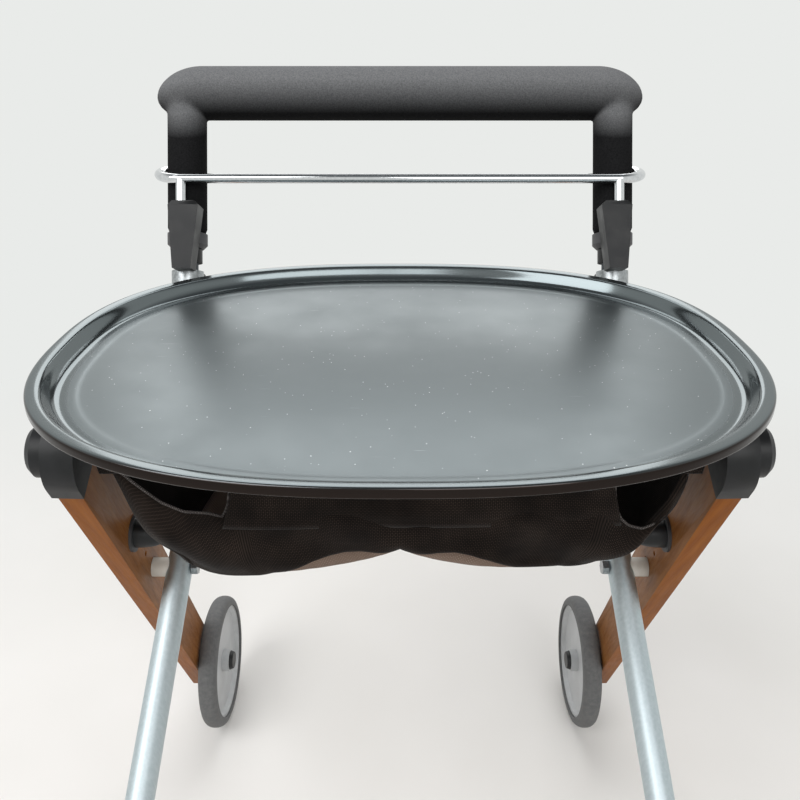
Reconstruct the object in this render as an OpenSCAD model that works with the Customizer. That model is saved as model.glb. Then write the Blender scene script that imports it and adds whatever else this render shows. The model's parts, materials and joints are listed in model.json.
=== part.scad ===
// Indoor walker with a lift-off tray.
// Front is towards -Y, the handle is at the rear, +X is to the right seen from the front, +Z is up.
// The origin is on the floor, under the middle of the walker. Lengths are in millimetres.

/* [Wheels] */
// Outer diameter of all four tyres
wheel_d = 176; // [160:1:184]
// Width of a tyre
tyre_w = 24; // [18:1:26]
// Thickness of the tyre from its seat to the tread
tyre_t = 13; // [8:1:18]
// Length of a wheel hub along its axle
hub_len = 26; // [22:1:28]
// Radius of a wheel hub
hub_r = 15; // [12:1:20]
// Thickness of the wheel disc
disc_t = 7; // [4:1:12]
// Radius of the black cap on a rear wheel's inner side
wheel_cap_r = 13; // [10:1:14]
// Height of that cap
wheel_cap_h = 5; // [3:1:8]
// Distance of a rear wheel's middle from the centre plane
rear_wheel_x = 252; // [248:1:253]
// Place of the rear axles along the walker
axle_y = 220; // [205:1:235]
// Radius of a rear axle
axle_r = 5; // [4:0.5:6]
// Radius of a front axle
castor_axle_r = 4; // [3:0.5:5]

/* [Wooden legs] */
// Distance of the leg's middle from the centre plane at its top
hub_x = 240; // [236:1:246]
// Place of the leg's top centre along the walker
hub_y = -90; // [-96:1:-84]
// Height of the leg's top centre
hub_z = 614; // [606:1:618]
// Distance of the leg's middle from the centre plane at the axle
foot_x = 279; // [278:1:284]
// Width of the wooden leg
leg_w = 60; // [54:1:62]
// Thickness of the wooden leg
leg_t = 18; // [14:1:20]
// Distance from the leg's top centre down to the fold pivot
pivot_dist = 240; // [232:1:248]
// Distance from the leg's top centre down to the lock knob
lock_dist = 153; // [140:1:165]

/* [Top brackets] */
// Wall of the bracket round the leg's top end
bracket_wall = 2.5; // [2:0.5:3]
// Length of wood that the bracket covers below the leg's top centre
bracket_len = 12; // [10:1:44]
// Radius of the round hub cap
hub_cap_r = 20; // [16:1:26]
// Thickness of the hub cap
hub_cap_h = 17; // [10:1:22]
// Radius of the front cross bar
front_bar_r = 8; // [6:0.5:10]

/* [Silver tubes] */
// Outer radius of the frame tubes
tube_r = 12.5; // [11:0.5:13]
// Wall of those tubes
tube_wall = 1.5; // [1:0.1:2.2]
// Radius of the bend between a frame tube's upper and lower run
bend_r = 80; // [60:1:100]
// Distance of the castor's swivel axis from the centre plane
castor_x = 233; // [228:1:236]
// Place of the swivel axis along the walker
castor_y = -255; // [-262:1:-250]
// Height at which the frame tube's line meets the swivel axis
castor_z = 202; // [199:1:210]
// Radius of the pivot bolts
bolt_r = 4; // [3:0.5:5]
// Radius of the rear cross bar
rear_bar_r = 8; // [6:0.5:9]
// Distance of the rear cross bar ahead of the handle arms' line
rear_bar_ahead = 19.1; // [17:0.1:20]
// Height of the rear cross bar
rear_bar_z = 625; // [620:1:628]

/* [Castors] */
// Distance that a front wheel trails its swivel axis
castor_trail = 35; // [28:1:40]
// Radius of the swivel stem
stem_r = 6; // [5:0.5:8]
// Length of the stem inside its socket
stem_len = 36; // [28:1:40]
// Outer radius of the castor socket
socket_r = 20; // [17:1:22]
// Height of the castor socket
socket_h = 50; // [46:1:60]
// Thickness of the fork's sides
fork_t = 4; // [3:0.5:6]
// Thickness of the fork's crown
crown_t = 6; // [4:0.5:8]
// Gap between a wheel hub and the fork's sides
fork_gap = 2; // [1:0.5:4]

/* [Handle] */
// Distance of a handle arm's middle from the centre plane
arm_x = 218; // [215:1:222]
// Place of the grip's middle along the walker
grip_y = 266; // [260:1:272]
// Height of the grip's middle
grip_z = 828; // [815:1:840]
// Lean of the handle arms from upright, in degrees
arm_lean = 26.2; // [25:0.1:27.5]
// Radius of the foam on the crossbar
grip_r = 26; // [22:1:28]
// Distance of the crossbar's rounded ends from the centre plane
grip_reach = 248; // [244:1:254]
// Radius of the foam on the arms
arm_foam_r = 19; // [16:0.5:20]
// Bend radius of the handle tube's corners
corner_r = 40; // [36:1:50]
// Length of the foam down each arm from the crossbar's middle
foam_len = 144; // [130:1:150]
// Wall between the handle tube's outside and its bore
handle_wall = 1.5; // [1:0.1:2.5]
// Height of the collar below the foam
collar_h = 15; // [10:1:18]
// Distance from the crossbar's middle down to the frame tube's top
sleeve_top = 182; // [180:1:190]
// Length of handle tube inside the frame tube
engaged = 150; // [120:1:160]

/* [Brake] */
// Radius of the chrome rod
rod_r = 4.8; // [4:0.1:5.5]
// Distance from the crossbar's middle down the arms to the brake loop
loop_dist = 81.4; // [75:0.1:90]
// Radius at which the loop curls round each arm
curl_r = 28; // [27:0.5:32]
// Straight tail of the loop behind each arm
loop_tail = 12; // [6:1:16]
// Distance from the loop down to the mouth of its socket
stub_show = 24; // [20:1:30]
// Length of the stub inside its socket
stub_in = 28; // [22:1:32]
// Length of the brake socket
brake_socket_len = 66; // [60:1:70]
// Width of the brake socket at its mouth
brake_socket_w = 30; // [26:1:34]
// Depth of the brake socket from front to back
brake_socket_d = 21; // [18:1:22]
// Thickness of the brake arms at the rear wheels
brake_arm_t = 5; // [3:0.5:8]
// Radius of the brake arm's pin
brake_pin_r = 3; // [2:0.5:4]

/* [Tray] */
// Half width of the tray
tray_a = 270; // [262:1:276]
// Half depth of the tray
tray_b = 211; // [205:1:214]
// Squareness of the tray's outline, two for an ellipse
tray_power = 2.47; // [2.3:0.01:2.8]
// Place of the tray's middle along the walker
tray_y = -13; // [-17:1:-10]
// Height of the tray's rim
tray_z = 670; // [668:1:676]
// Depth from the rim to the tray's floor
tray_depth = 13; // [11:1:18]
// Width of the tray's flat rim
tray_rim_w = 9; // [8:1:14]
// Thickness of the tray
tray_t = 3; // [2:0.5:3.5]
// Width of the sloping wall between rim and floor
tray_wall_w = 12; // [10:1:18]
// Height of the turned-down lip
tray_lip = 7; // [5:0.5:8]

/* [Bag] */
// Half width of the bag at its mouth
bag_a = 204; // [190:1:206]
// Distance of the bag's front edge ahead of the front bar's middle
bag_ahead = 3; // [1:0.5:5]
// Rear of the bag's mouth along the walker
bag_rear_y = 130; // [120:1:132]
// Gap between the bag's mouth and the bar above it
bag_hang_gap = 0.6; // [0.4:0.1:1]
// Depth of the bag
bag_depth = 100; // [80:1:110]
// Depth of the scoops at the corners of the bag's mouth
bag_scoop = 46; // [30:1:55]
// Thickness of the bag's cloth
bag_t = 2.5; // [1.5:0.1:4]

/* [Knobs] */
// Radius of the lock knob's base
lock_knob_r = 13; // [10:1:15]
// Height of the lock knob
lock_knob_h = 25; // [18:1:26]
// Radius of the disc under the lock knob
lock_disc_r = 17; // [14:1:20]
// Radius of a height knob
height_knob_r = 13; // [10:1:16]
// Thickness of a height knob
height_knob_h = 14; // [10:1:18]

/* [Hidden] */
$fn = 64;
// Overrun of all cuts
cut = 1;
// Radial clearance of a shaft that turns or slides in its bore
run_fit = 0.05;
// Clearance of a piece that is seated on another one
seat_fit = 0.1;
// Gap between faces that move past each other
face_gap = 0.4;
// Radial gap of the handle tube in its sleeve
slide_gap = 0.3;

wheel_r = wheel_d / 2;
rim_r = wheel_r - tyre_t;
// Rim: half width of the flange, and place and thickness of the thin middle of the disc
flange_share = 0.38;
web_share = 0.5;
web_thin_share = 0.35;
crown_power = 0.55;
cap_taper_share = 0.85;
arm_dir = [0, -sin(arm_lean), -cos(arm_lean)];
grip_c = [0, grip_y, grip_z];

// Wooden leg on the right side: local x across the leg, y down it, z towards the centre plane
hub_c = [hub_x, hub_y, hub_z];
axle_c = [foot_x, axle_y, wheel_r];
leg_len = norm(axle_c - hub_c);
leg_dir = unit(axle_c - hub_c);
leg_across = unit([0, -leg_dir.z, leg_dir.y]);
leg_normal = cross(leg_across, leg_dir);
foot_shares = [[0.5, -0.1], [0.3, 0.36], [-0.1, 0.5], [-0.5, 0.12]];
leg_pivot_c = hub_c + leg_dir * pivot_dist;
// Bevel on the hub caps: share of their height, and of their radius at the outer face
bevel_share = 0.25;
bevel_r_share = 0.8;
// Depth of the flat seats cut square to the bolts in the leaning leg
spot_face = 0.8;
// Small blind hole in the leg's inner face, below the lock knob
peg_hole_r = 2.5;
peg_hole_depth = 8;
peg_hole_dist = 50;

// Frame tube on the right side: an upper run in line with the handle arm, a bend, a lower run to the castor
castor_c = [castor_x, castor_y, castor_z];
side_run = castor_c - leg_pivot_c;
bend_s = cross_yz(leg_pivot_c - grip_c, side_run) / cross_yz(arm_dir, side_run);
bend_c = [arm_x, grip_y, grip_z] + arm_dir * bend_s;
tube_dir = unit(castor_c - bend_c);
bend_angle = acos(arm_dir * tube_dir);
bend_tangent = bend_r * tan(bend_angle / 2);
bend_in = unit(tube_dir - arm_dir * (arm_dir * tube_dir));
sleeve_bottom = bend_s - bend_tangent;
// The bend laps into both runs and is a hair thinner, so that no two faces lie in one another
bend_lap = 3;
bend_step = 0.15;
// Distance kept between the frame tube's end and the swivel axis
tube_end_gap = 25;
tube_end = castor_c - tube_dir * tube_end_gap;
pivot_c = bend_c + tube_dir * ((leg_pivot_c.y - bend_c.y) / tube_dir.y);
pivot_x = pivot_c.x;

// Pivot bolt, its nut and the plastic spacer
bolt_head_r = 9;
bolt_head_h = 4;
nut_r = 7.5;
nut_h = 6;
nut_sides = 6;
spacer_r = 9.5;
leg_in_x = leg_pivot_c.x - leg_t / 2 + spot_face;
leg_out_x = leg_pivot_c.x + leg_t / 2 - spot_face;

// Rear axle with its shoulder
axle_head_r = 9;
axle_head_h = 5;
foot_in_x = foot_x - leg_t / 2 + spot_face;
foot_out_x = foot_x + leg_t / 2 - spot_face;
axle_shoulder_r = 9;

// Castor
front_wheel_c = [castor_x, castor_y + castor_trail, wheel_r];
crown_gap = 3.5;
crown_z = wheel_d + crown_gap;
socket_z = crown_z + crown_t + face_gap;
fork_in_x = hub_len / 2 + fork_gap;
fork_eye_r = 12;
crown_r = 17;
fork_waist = 15;
// Reach of the fork's sides and of its crown behind the waist, as shares of the waist
fork_back_share = 1.6;
fork_crown_share = 2.1;
castor_head_r = 7;
castor_head_h = 3;
castor_sleeve_wall = 4;
castor_sleeve_len = 46;

// Handle
handle_r = tube_r - tube_wall - slide_gap;
handle_end = sleeve_top + engaged;
foam_fit = 0.2;
foam_bore_r = handle_r + foam_fit;
// Angle at which the crossbar's rounded ends turn flat, and its steps
last_arc = 75;
arc_steps = 5;
collar_r = 20;
collar_lip = 4;
clamp_wall = 3.5;
clamp_h = 15;
screw_r = 3;
boss_r = 7;
boss_len = 9;
knob_lobes = 6;
lobe_r = 4;

// Brake loop, stubs and sockets; the socket is placed in the leaning plane of the handle
loop_y = grip_y - loop_dist * sin(arm_lean);
loop_z = grip_z - loop_dist * cos(arm_lean);
stub_offset = 0.15;
stub_x = arm_x - stub_offset;
stub_y = -curl_r * cos(arm_lean);
loop_front_s = loop_dist + curl_r * sin(arm_lean);
mouth_s = loop_front_s + stub_show;
socket_end_s = mouth_s + brake_socket_len;
socket_in_share = 0.66;
socket_in_x = stub_x - brake_socket_w * socket_in_share;
socket_out_x = socket_in_x + brake_socket_w;
socket_taper = 8;
socket_chamfer = 4;
// Room below the stub for the brake's stroke
stub_room = 16;
stub_bore_len = stub_in + stub_room;
strap_h = 14;
strap_wall = 4;
strap_w = 14;

// Brake arm at each rear wheel
brake_pin_dist = 21;
brake_pin_len = 12;
brake_eye_r = 8;
brake_arm_shares = [[-1, -0.6], [1, -0.5], [1.6, 2.1], [-2.2, 3.2]];

// Tray profile: inward offsets and heights below the rim, top side first, then the underside
tray_points = 72;
lip_edge = 1.5;
// Inner edge of the rim, as a share of the lip's edge, and its underside, as shares of the thickness
rim_drop_share = 1.6;
rim_under_shares = [1.4, 1.2];
// Corners of the wall and of its underside, as shares of its width and of the depth
wall_shares = [[0.4, 0.5], [0.55, 0.56], [0.85, 0.92]];
wall_under_shares = [0.3, 0.56];
tray_top = concat([
    [0, tray_lip], [0, lip_edge], [lip_edge, 0], [tray_rim_w - lip_edge, lip_edge / 2],
    [tray_rim_w + lip_edge, lip_edge * rim_drop_share]],
    [for (p = wall_shares) [tray_rim_w + tray_wall_w * p.x, tray_depth * p.y]],
    [[tray_rim_w + tray_wall_w, tray_depth]]);
tray_under = [
    [tray_rim_w + tray_wall_w - tray_t / 2, tray_depth + tray_t],
    [tray_rim_w + tray_wall_w * wall_under_shares.x, tray_depth * wall_under_shares.y + tray_t],
    [tray_rim_w - tray_t, tray_t * rim_under_shares.x],
    [tray_t, tray_t * rim_under_shares.y], [tray_t, tray_lip]];
tray_rings = concat(tray_top, tray_under);
tray_under_z = tray_z - tray_depth - tray_t;

// Tray clips on the rear bar and tray rests on the top brackets
clip_x = 70;
clip_w = 22;
clip_d = 13;
clip_wall = 4;
rest_back = 38;
rest_y = hub_y + rest_back;
rest_r = 6;
rest_pad_r = 5.5;
rest_pad_h = 4;
rest_share = 0.88;
rest_x = tray_a * rest_share;
rest_foot_share = 0.46;
rest_foot = hub_c + leg_across * leg_w * rest_foot_share;

// Bag levels: share of the depth, of the half width, and of the run from mouth edge to middle
bag_level_shares = [[0, 1, 0], [0.2, 1, -0.03], [0.45, 0.975, -0.04], [0.68, 0.935, -0.02],
    [0.85, 0.885, 0.05], [0.96, 0.8, 0.15], [1, 0.6, 0.36]];
// Scoops in the bag's mouth, from the middle of a side round the corner to the middle of the front
bag_scoop_shares = [0.35, 0.45, 0.6, 0.8, 0.95, 1, 0.9, 0.6, 0.08, 0, 0, 0, 0];
bag_quarter = len(bag_scoop_shares) - 1;
bag_points = 4 * bag_quarter;
bag_power = 4;
// Gap between the bag's front and rear half at the side seams
seam_gap = 0.3;
bag_mouth_z = hub_z - front_bar_r - bag_hang_gap;
bag_front_y = hub_y - bag_ahead;
bag_mid_y = (bag_front_y + bag_rear_y) / 2;

// Clamps of the rear bar
bar_clamp_h = 20;
bar_boss_r = 12;
bar_boss_len = 20;
bar_s = (grip_z - rear_bar_z) / cos(arm_lean);
rear_bar_y = grip_y - bar_s * sin(arm_lean) - rear_bar_ahead;
bar_end_x = arm_x - tube_r - seat_fit;

// Lock knob
lock_disc_t = 2.5;
lock_shank_r = 4;
lock_shank_len = 11;
lock_tip_share = 0.42;

// Vectors and placing
function unit(v) = v / norm(v);
function cross_yz(v, w) = v.y * w.z - v.z * w.y;
function columns(x, y, z, at) =
    [[x.x, y.x, z.x, at.x], [x.y, y.y, z.y, at.y], [x.z, y.z, z.z, at.z], [0, 0, 0, 1]];

module on_side(side) {
    if (side == "left") mirror([1, 0, 0]) children();
    else children();
}

module both_sides() {
    children();
    mirror([1, 0, 0]) children();
}

// Puts local z on the line from a to b
module along(a, b) {
    z = unit(b - a);
    x = unit(cross([0, z.z, -z.y], z));
    multmatrix(columns(x, cross(z, x), z, a)) children();
}

module rod(a, b, r) along(a, b) cylinder(h = norm(b - a), r = r);

// A cylinder along X between two distances from the centre plane
module cross_rod(x0, x1, y, z, r, sides = $fn)
    translate([min(x0, x1), y, z]) rotate([0, 90, 0]) cylinder(h = abs(x1 - x0), r = r, $fn = sides);

module in_leg() multmatrix(columns(leg_across, leg_dir, leg_normal, hub_c)) children();

module in_handle() translate(grip_c) rotate([-arm_lean, 0, 0]) children();

// A cylinder round a handle arm, from one distance below the crossbar to another
module arm_rod(s0, s1, r, y = 0) translate([arm_x, y, -s1]) cylinder(h = s1 - s0, r = r);

// Closed skin over a stack of rings, with both ends capped
function ring_faces(rings, n) = [for (k = [0:rings - 2], i = [0:n - 1])
    let (j = (i + 1) % n, low = k * n, high = low + n)
    each [[low + i, low + j, high + j], [low + i, high + j, high + i]]];

// Turns the faces of a list round
function turned(faces) = [for (f = faces) [for (k = [len(f) - 1:-1:0]) f[k]]];

function superellipse(a, b, power, n) = [for (i = [0:n - 1])
    let (t = 360 * i / n, c = cos(t), s = sin(t))
    [a * sign(c) * pow(abs(c), 2 / power), b * sign(s) * pow(abs(s), 2 / power)]];

// Wheels, with the axle along local z
module rim_shape(bore_r) {
    flange = tyre_w * flange_share;
    web = [rim_r * web_share, disc_t * web_thin_share];
    rotate_extrude() polygon([
        [bore_r, -hub_len / 2], [hub_r, -hub_len / 2], [hub_r, -disc_t / 2], [web.x, -web.y],
        [rim_r - disc_t, -disc_t / 2], [rim_r - disc_t / 2, -flange], [rim_r, -flange],
        [rim_r, flange], [rim_r - disc_t / 2, flange], [rim_r - disc_t, disc_t / 2],
        [web.x, web.y], [hub_r, disc_t / 2], [hub_r, hub_len / 2], [bore_r, hub_len / 2]]);
}

module tyre_shape() {
    seat_r = rim_r + seat_fit;
    rotate_extrude() polygon([for (t = [-90:15:90])
        [seat_r + (wheel_r - seat_r) * pow(abs(cos(t)), crown_power), tyre_w / 2 * sin(t)]]);
}

module at_rear_wheel() translate([rear_wheel_x, axle_y, wheel_r]) rotate([0, 90, 0]) children();

module at_front_wheel() translate(front_wheel_c) rotate([0, 90, 0]) children();

module rear_rim(side) color("gainsboro") on_side(side) at_rear_wheel() rim_shape(axle_r + run_fit);

module rear_tyre(side) color("dimgray") on_side(side) at_rear_wheel() tyre_shape();

module rear_wheel_cap(side) color("black") on_side(side) at_rear_wheel()
    translate([0, 0, -hub_len / 2 - wheel_cap_h])
        cylinder(h = wheel_cap_h, r1 = wheel_cap_r * cap_taper_share, r2 = wheel_cap_r);

module front_rim(side) color("gainsboro") on_side(side) at_front_wheel() rim_shape(castor_axle_r + run_fit);

module front_tyre(side) color("dimgray") on_side(side) at_front_wheel() tyre_shape();

module rear_axles() color("silver") both_sides() {
    cross_rod(rear_wheel_x - hub_len / 2 + seat_fit, foot_out_x, axle_y, wheel_r, axle_r);
    cross_rod(rear_wheel_x + hub_len / 2 + face_gap, foot_in_x, axle_y, wheel_r, axle_shoulder_r);
    cross_rod(foot_out_x, foot_out_x + axle_head_h, axle_y, wheel_r, axle_head_r);
}

// Wooden legs
module leg_outline() {
    circle(r = leg_w / 2);
    polygon(concat([[-leg_w / 2, 0], [leg_w / 2, 0]],
        [for (p = foot_shares) [p.x * leg_w, leg_len + p.y * leg_w]]));
}

module wooden_leg(side) color("peru") on_side(side) difference() {
    in_leg() translate([0, 0, -leg_t / 2]) linear_extrude(leg_t) leg_outline();
    cross_rod(pivot_x, leg_out_x + leg_w, pivot_c.y, pivot_c.z, bolt_r + run_fit);
    cross_rod(pivot_x, leg_in_x, pivot_c.y, pivot_c.z, spacer_r + cut);
    cross_rod(leg_out_x, leg_out_x + leg_w, pivot_c.y, pivot_c.z, bolt_head_r + cut);
    cross_rod(rear_wheel_x, foot_x + leg_w, axle_y, wheel_r, axle_r);
    cross_rod(rear_wheel_x, foot_in_x, axle_y, wheel_r, axle_shoulder_r + cut);
    cross_rod(foot_out_x, foot_x + leg_w, axle_y, wheel_r, axle_head_r + cut);
    in_leg() translate([0, lock_dist, leg_t / 2 - lock_shank_len - cut])
        cylinder(h = lock_shank_len + 2 * cut, r = lock_shank_r + run_fit);
    in_leg() translate([0, lock_dist + peg_hole_dist, leg_t / 2 - peg_hole_depth])
        cylinder(h = peg_hole_depth + cut, r = peg_hole_r);
    in_leg() translate([0, leg_len + brake_pin_dist, -leg_t / 2 - cut])
        cylinder(h = brake_pin_len + 2 * cut, r = brake_pin_r + run_fit);
}

module bracket_outline(grow, len) {
    half = leg_w / 2 + grow;
    translate([-half, 0]) square([2 * half, len]);
    intersection() {
        circle(r = half);
        translate([-half, -half]) square([2 * half, half + len]);
    }
}

module hub_bracket(side) color("black") on_side(side) {
    pad_z = tray_under_z - face_gap;
    difference() {
        union() {
            in_leg() translate([0, 0, -leg_t / 2 - bracket_wall])
                linear_extrude(leg_t + 2 * bracket_wall) bracket_outline(bracket_wall, bracket_len);
            rod(rest_foot, [rest_x, rest_y, pad_z - rest_pad_h], rest_r);
            translate([rest_x, rest_y, pad_z - rest_pad_h]) cylinder(h = rest_pad_h, r = rest_pad_r);
        }
        in_leg() translate([0, 0, -leg_t / 2 - slide_gap])
            linear_extrude(leg_t + 2 * slide_gap) bracket_outline(slide_gap, bracket_len + cut);
    }
}

module hub_caps() color("black") both_sides() in_leg()
    translate([0, 0, -leg_t / 2 - bracket_wall - hub_cap_h]) {
        bevel = hub_cap_h * bevel_share;
        cylinder(h = bevel, r1 = hub_cap_r * bevel_r_share, r2 = hub_cap_r);
        translate([0, 0, bevel]) cylinder(h = hub_cap_h - bevel, r = hub_cap_r);
    }

module front_bar() color("silver") {
    end_x = hub_x - leg_t / 2 - bracket_wall - face_gap;
    difference() {
        cross_rod(-end_x, end_x, hub_y, hub_z, front_bar_r);
        cross_rod(-end_x - cut, end_x + cut, hub_y, hub_z, front_bar_r - tube_wall);
    }
}

module lock_discs() color("gray") both_sides() in_leg() translate([0, lock_dist, leg_t / 2]) difference() {
    cylinder(h = lock_disc_t, r = lock_disc_r);
    translate([0, 0, -cut]) cylinder(h = lock_disc_t + 2 * cut, r = lock_shank_r + slide_gap);
}

module lock_knob(side) color("black") on_side(side) in_leg() translate([0, lock_dist, leg_t / 2]) {
    base = lock_disc_t + face_gap;
    translate([0, 0, -lock_shank_len]) cylinder(h = lock_shank_len + base + cut, r = lock_shank_r);
    waist_share = 1 - lock_tip_share;
    translate([0, 0, base]) rotate_extrude() polygon(concat([[0, 0]], [for (t = [0:10:90])
        [t < 90 ? lock_knob_r * (lock_tip_share + waist_share * cos(t)) : 0, lock_knob_h * sin(t)]]));
}

// Silver frame
// The tube in the plane of its bend: the bend's centre at the origin, the upper run along y
module tube_path(r, bend_tube_r, over) {
    lap = asin(bend_lap / bend_r);
    upper = sleeve_bottom - sleeve_top + over;
    lower = norm(tube_end - bend_c) - bend_tangent + over;
    translate([bend_r, 0, 0]) rotate([90, 0, 0]) cylinder(h = upper, r = r);
    rotate(-lap) rotate_extrude(angle = bend_angle + 2 * lap) translate([bend_r, 0]) circle(r = bend_tube_r);
    rotate(bend_angle) translate([bend_r, 0, 0]) rotate([-90, 0, 0]) cylinder(h = lower, r = r);
}

module frame_tube(side) color("lightsteelblue") on_side(side) difference() {
    bore = tube_r - tube_wall;
    bend_at = bend_c - arm_dir * bend_tangent + bend_in * bend_r;
    multmatrix(columns(-bend_in, arm_dir, cross(-bend_in, arm_dir), bend_at)) difference() {
        tube_path(tube_r, tube_r - bend_step, 0);
        tube_path(bore, bore + bend_step, cut);
    }
    in_handle() translate([arm_x, 0, -sleeve_top - clamp_h / 2]) rotate([-90, 0, 0])
        cylinder(h = tube_r + cut, r = screw_r + slide_gap);
    cross_rod(pivot_x - tube_r - nut_h, pivot_x + tube_r + cut, pivot_c.y, pivot_c.z, bolt_r + run_fit);
}

module height_clamp(side) color("silver") on_side(side) in_handle() difference() {
    mid = [arm_x, 0, -sleeve_top - clamp_h / 2];
    union() {
        arm_rod(sleeve_top, sleeve_top + clamp_h, tube_r + clamp_wall);
        translate(mid) rotate([-90, 0, 0]) cylinder(h = tube_r + clamp_wall + boss_len, r = boss_r);
    }
    arm_rod(sleeve_top - cut, sleeve_top + clamp_h + cut, tube_r + seat_fit);
    translate(mid) rotate([-90, 0, 0])
        cylinder(h = tube_r + clamp_wall + boss_len + cut, r = screw_r + run_fit);
}

module height_knob(side) color("black") on_side(side) in_handle()
    translate([arm_x, 0, -sleeve_top - clamp_h / 2]) rotate([-90, 0, 0]) {
        seat = tube_r + clamp_wall + boss_len + face_gap;
        tip = handle_r + slide_gap;
        translate([0, 0, tip]) cylinder(h = seat - tip + cut, r = screw_r);
        translate([0, 0, seat]) cylinder(h = height_knob_h, r = height_knob_r - lobe_r / 2);
        for (k = [0:knob_lobes - 1])
            rotate(360 * k / knob_lobes) translate([height_knob_r - lobe_r, 0, seat])
                cylinder(h = height_knob_h, r = lobe_r);
    }

module rear_bar() color("silver") difference() {
    cross_rod(-bar_end_x, bar_end_x, rear_bar_y, rear_bar_z, rear_bar_r);
    cross_rod(-bar_end_x - cut, bar_end_x + cut, rear_bar_y, rear_bar_z, rear_bar_r - tube_wall);
}

module bar_clamp(side) color("black") on_side(side) difference() {
    union() {
        in_handle() arm_rod(bar_s - bar_clamp_h / 2, bar_s + bar_clamp_h / 2, tube_r + clamp_wall);
        cross_rod(bar_end_x - bar_boss_len, arm_x, rear_bar_y, rear_bar_z, bar_boss_r);
    }
    in_handle() arm_rod(sleeve_top, sleeve_bottom, tube_r + seat_fit);
    cross_rod(0, bar_end_x + seat_fit, rear_bar_y, rear_bar_z, rear_bar_r + seat_fit);
}

module pivot_bolts() color("silver") both_sides() {
    nut_x = pivot_x - tube_r - nut_h;
    cross_rod(nut_x, leg_out_x + face_gap, pivot_c.y, pivot_c.z, bolt_r);
    cross_rod(nut_x, nut_x + nut_h, pivot_c.y, pivot_c.z, nut_r, nut_sides);
    cross_rod(leg_out_x + face_gap, leg_out_x + face_gap + bolt_head_h, pivot_c.y, pivot_c.z, bolt_head_r);
}

module pivot_spacers() color("whitesmoke") both_sides() difference() {
    cross_rod(pivot_x, leg_in_x - face_gap, pivot_c.y, pivot_c.z, spacer_r);
    rod(pivot_c - tube_dir * 2 * spacer_r, pivot_c + tube_dir * 2 * spacer_r, tube_r + seat_fit);
    cross_rod(pivot_x, leg_in_x, pivot_c.y, pivot_c.z, bolt_r + run_fit);
}

// Castors
module castor_socket(side) color("black") on_side(side) difference() {
    sleeve_r = tube_r + castor_sleeve_wall;
    union() {
        translate([castor_x, castor_y, socket_z]) cylinder(h = socket_h, r = socket_r);
        rod(castor_c, castor_c - tube_dir * (tube_end_gap + castor_sleeve_len), sleeve_r);
    }
    rod(pivot_c, tube_end, tube_r + seat_fit);
    translate([castor_x, castor_y, 0]) cylinder(h = socket_z + stem_len + cut, r = stem_r + run_fit);
    translate([castor_x - socket_r - cut, castor_y - socket_r - cut, 0])
        cube([2 * (socket_r + cut), 2 * (socket_r + cut), socket_z]);
}

module fork_side() {
    top = crown_z + crown_t / 2;
    polygon([[castor_y - fork_waist / 2, top], [castor_y + fork_waist * fork_back_share, top],
        [front_wheel_c.y + fork_eye_r, wheel_r], [front_wheel_c.y - fork_eye_r, wheel_r]]);
    translate([front_wheel_c.y, wheel_r]) circle(r = fork_eye_r);
}

module castor_fork(side) color("dimgray") on_side(side) difference() {
    outer = fork_in_x + fork_t;
    union() {
        translate([castor_x, castor_y, crown_z]) cylinder(h = crown_t, r = crown_r);
        translate([castor_x, castor_y, crown_z]) cylinder(h = crown_t + stem_len, r = stem_r);
        translate([castor_x - outer, castor_y - fork_waist / 2, crown_z])
            cube([2 * outer, fork_waist * fork_crown_share, crown_t]);
        for (x = [-outer, fork_in_x])
            translate([castor_x + x, 0, 0]) rotate([90, 0, 90]) linear_extrude(fork_t) fork_side();
    }
    cross_rod(castor_x - outer - cut, castor_x + outer + cut, front_wheel_c.y, wheel_r, castor_axle_r);
}

module castor_axle(side) color("silver") on_side(side) {
    outer = fork_in_x + fork_t;
    cross_rod(castor_x - outer, castor_x + outer, front_wheel_c.y, wheel_r, castor_axle_r);
    cross_rod(castor_x + outer, castor_x + outer + castor_head_h, front_wheel_c.y, wheel_r, castor_head_r);
    cross_rod(castor_x - outer, castor_x - outer - castor_head_h, front_wheel_c.y, wheel_r, castor_head_r);
}

// Handle
module handle_path(r, end_s) {
    bar = arm_x - corner_r;
    rotate([0, 90, 0]) translate([0, 0, -bar]) cylinder(h = 2 * bar, r = r);
    both_sides() {
        arm_rod(corner_r, end_s, r);
        translate([bar, 0, -corner_r]) rotate([90, 0, 0])
            rotate_extrude(angle = 90) translate([corner_r, 0]) circle(r = r);
    }
}

module handle_tube() color("gray") in_handle() difference() {
    handle_path(handle_r, handle_end);
    handle_path(handle_r - handle_wall, handle_end + cut);
}

// The crossbar's foam: a thick bar with rounded ends, turned about its own length
module crossbar_foam() {
    end = grip_reach - grip_r * sin(last_arc);
    round_end = [for (t = [0:last_arc / arc_steps:last_arc]) [grip_r * cos(t), end + grip_r * sin(t)]];
    rotate([0, 90, 0]) rotate_extrude() polygon(concat(
        [[0, -grip_reach]], [for (k = [len(round_end) - 1:-1:0]) [round_end[k].x, -round_end[k].y]],
        round_end, [[0, grip_reach]]));
}

module grip_foam() color("black") in_handle() difference() {
    union() {
        crossbar_foam();
        both_sides() arm_rod(0, foam_len, arm_foam_r);
    }
    handle_path(foam_bore_r, foam_len + cut);
}

module grip_collars() color("dimgray") in_handle() both_sides()
    translate([arm_x, 0, -foam_len - collar_h]) rotate_extrude() polygon([
        [handle_r + seat_fit, 0], [collar_r - collar_lip, 0], [collar_r, collar_lip],
        [collar_r, collar_h], [handle_r + seat_fit, collar_h]]);

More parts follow.
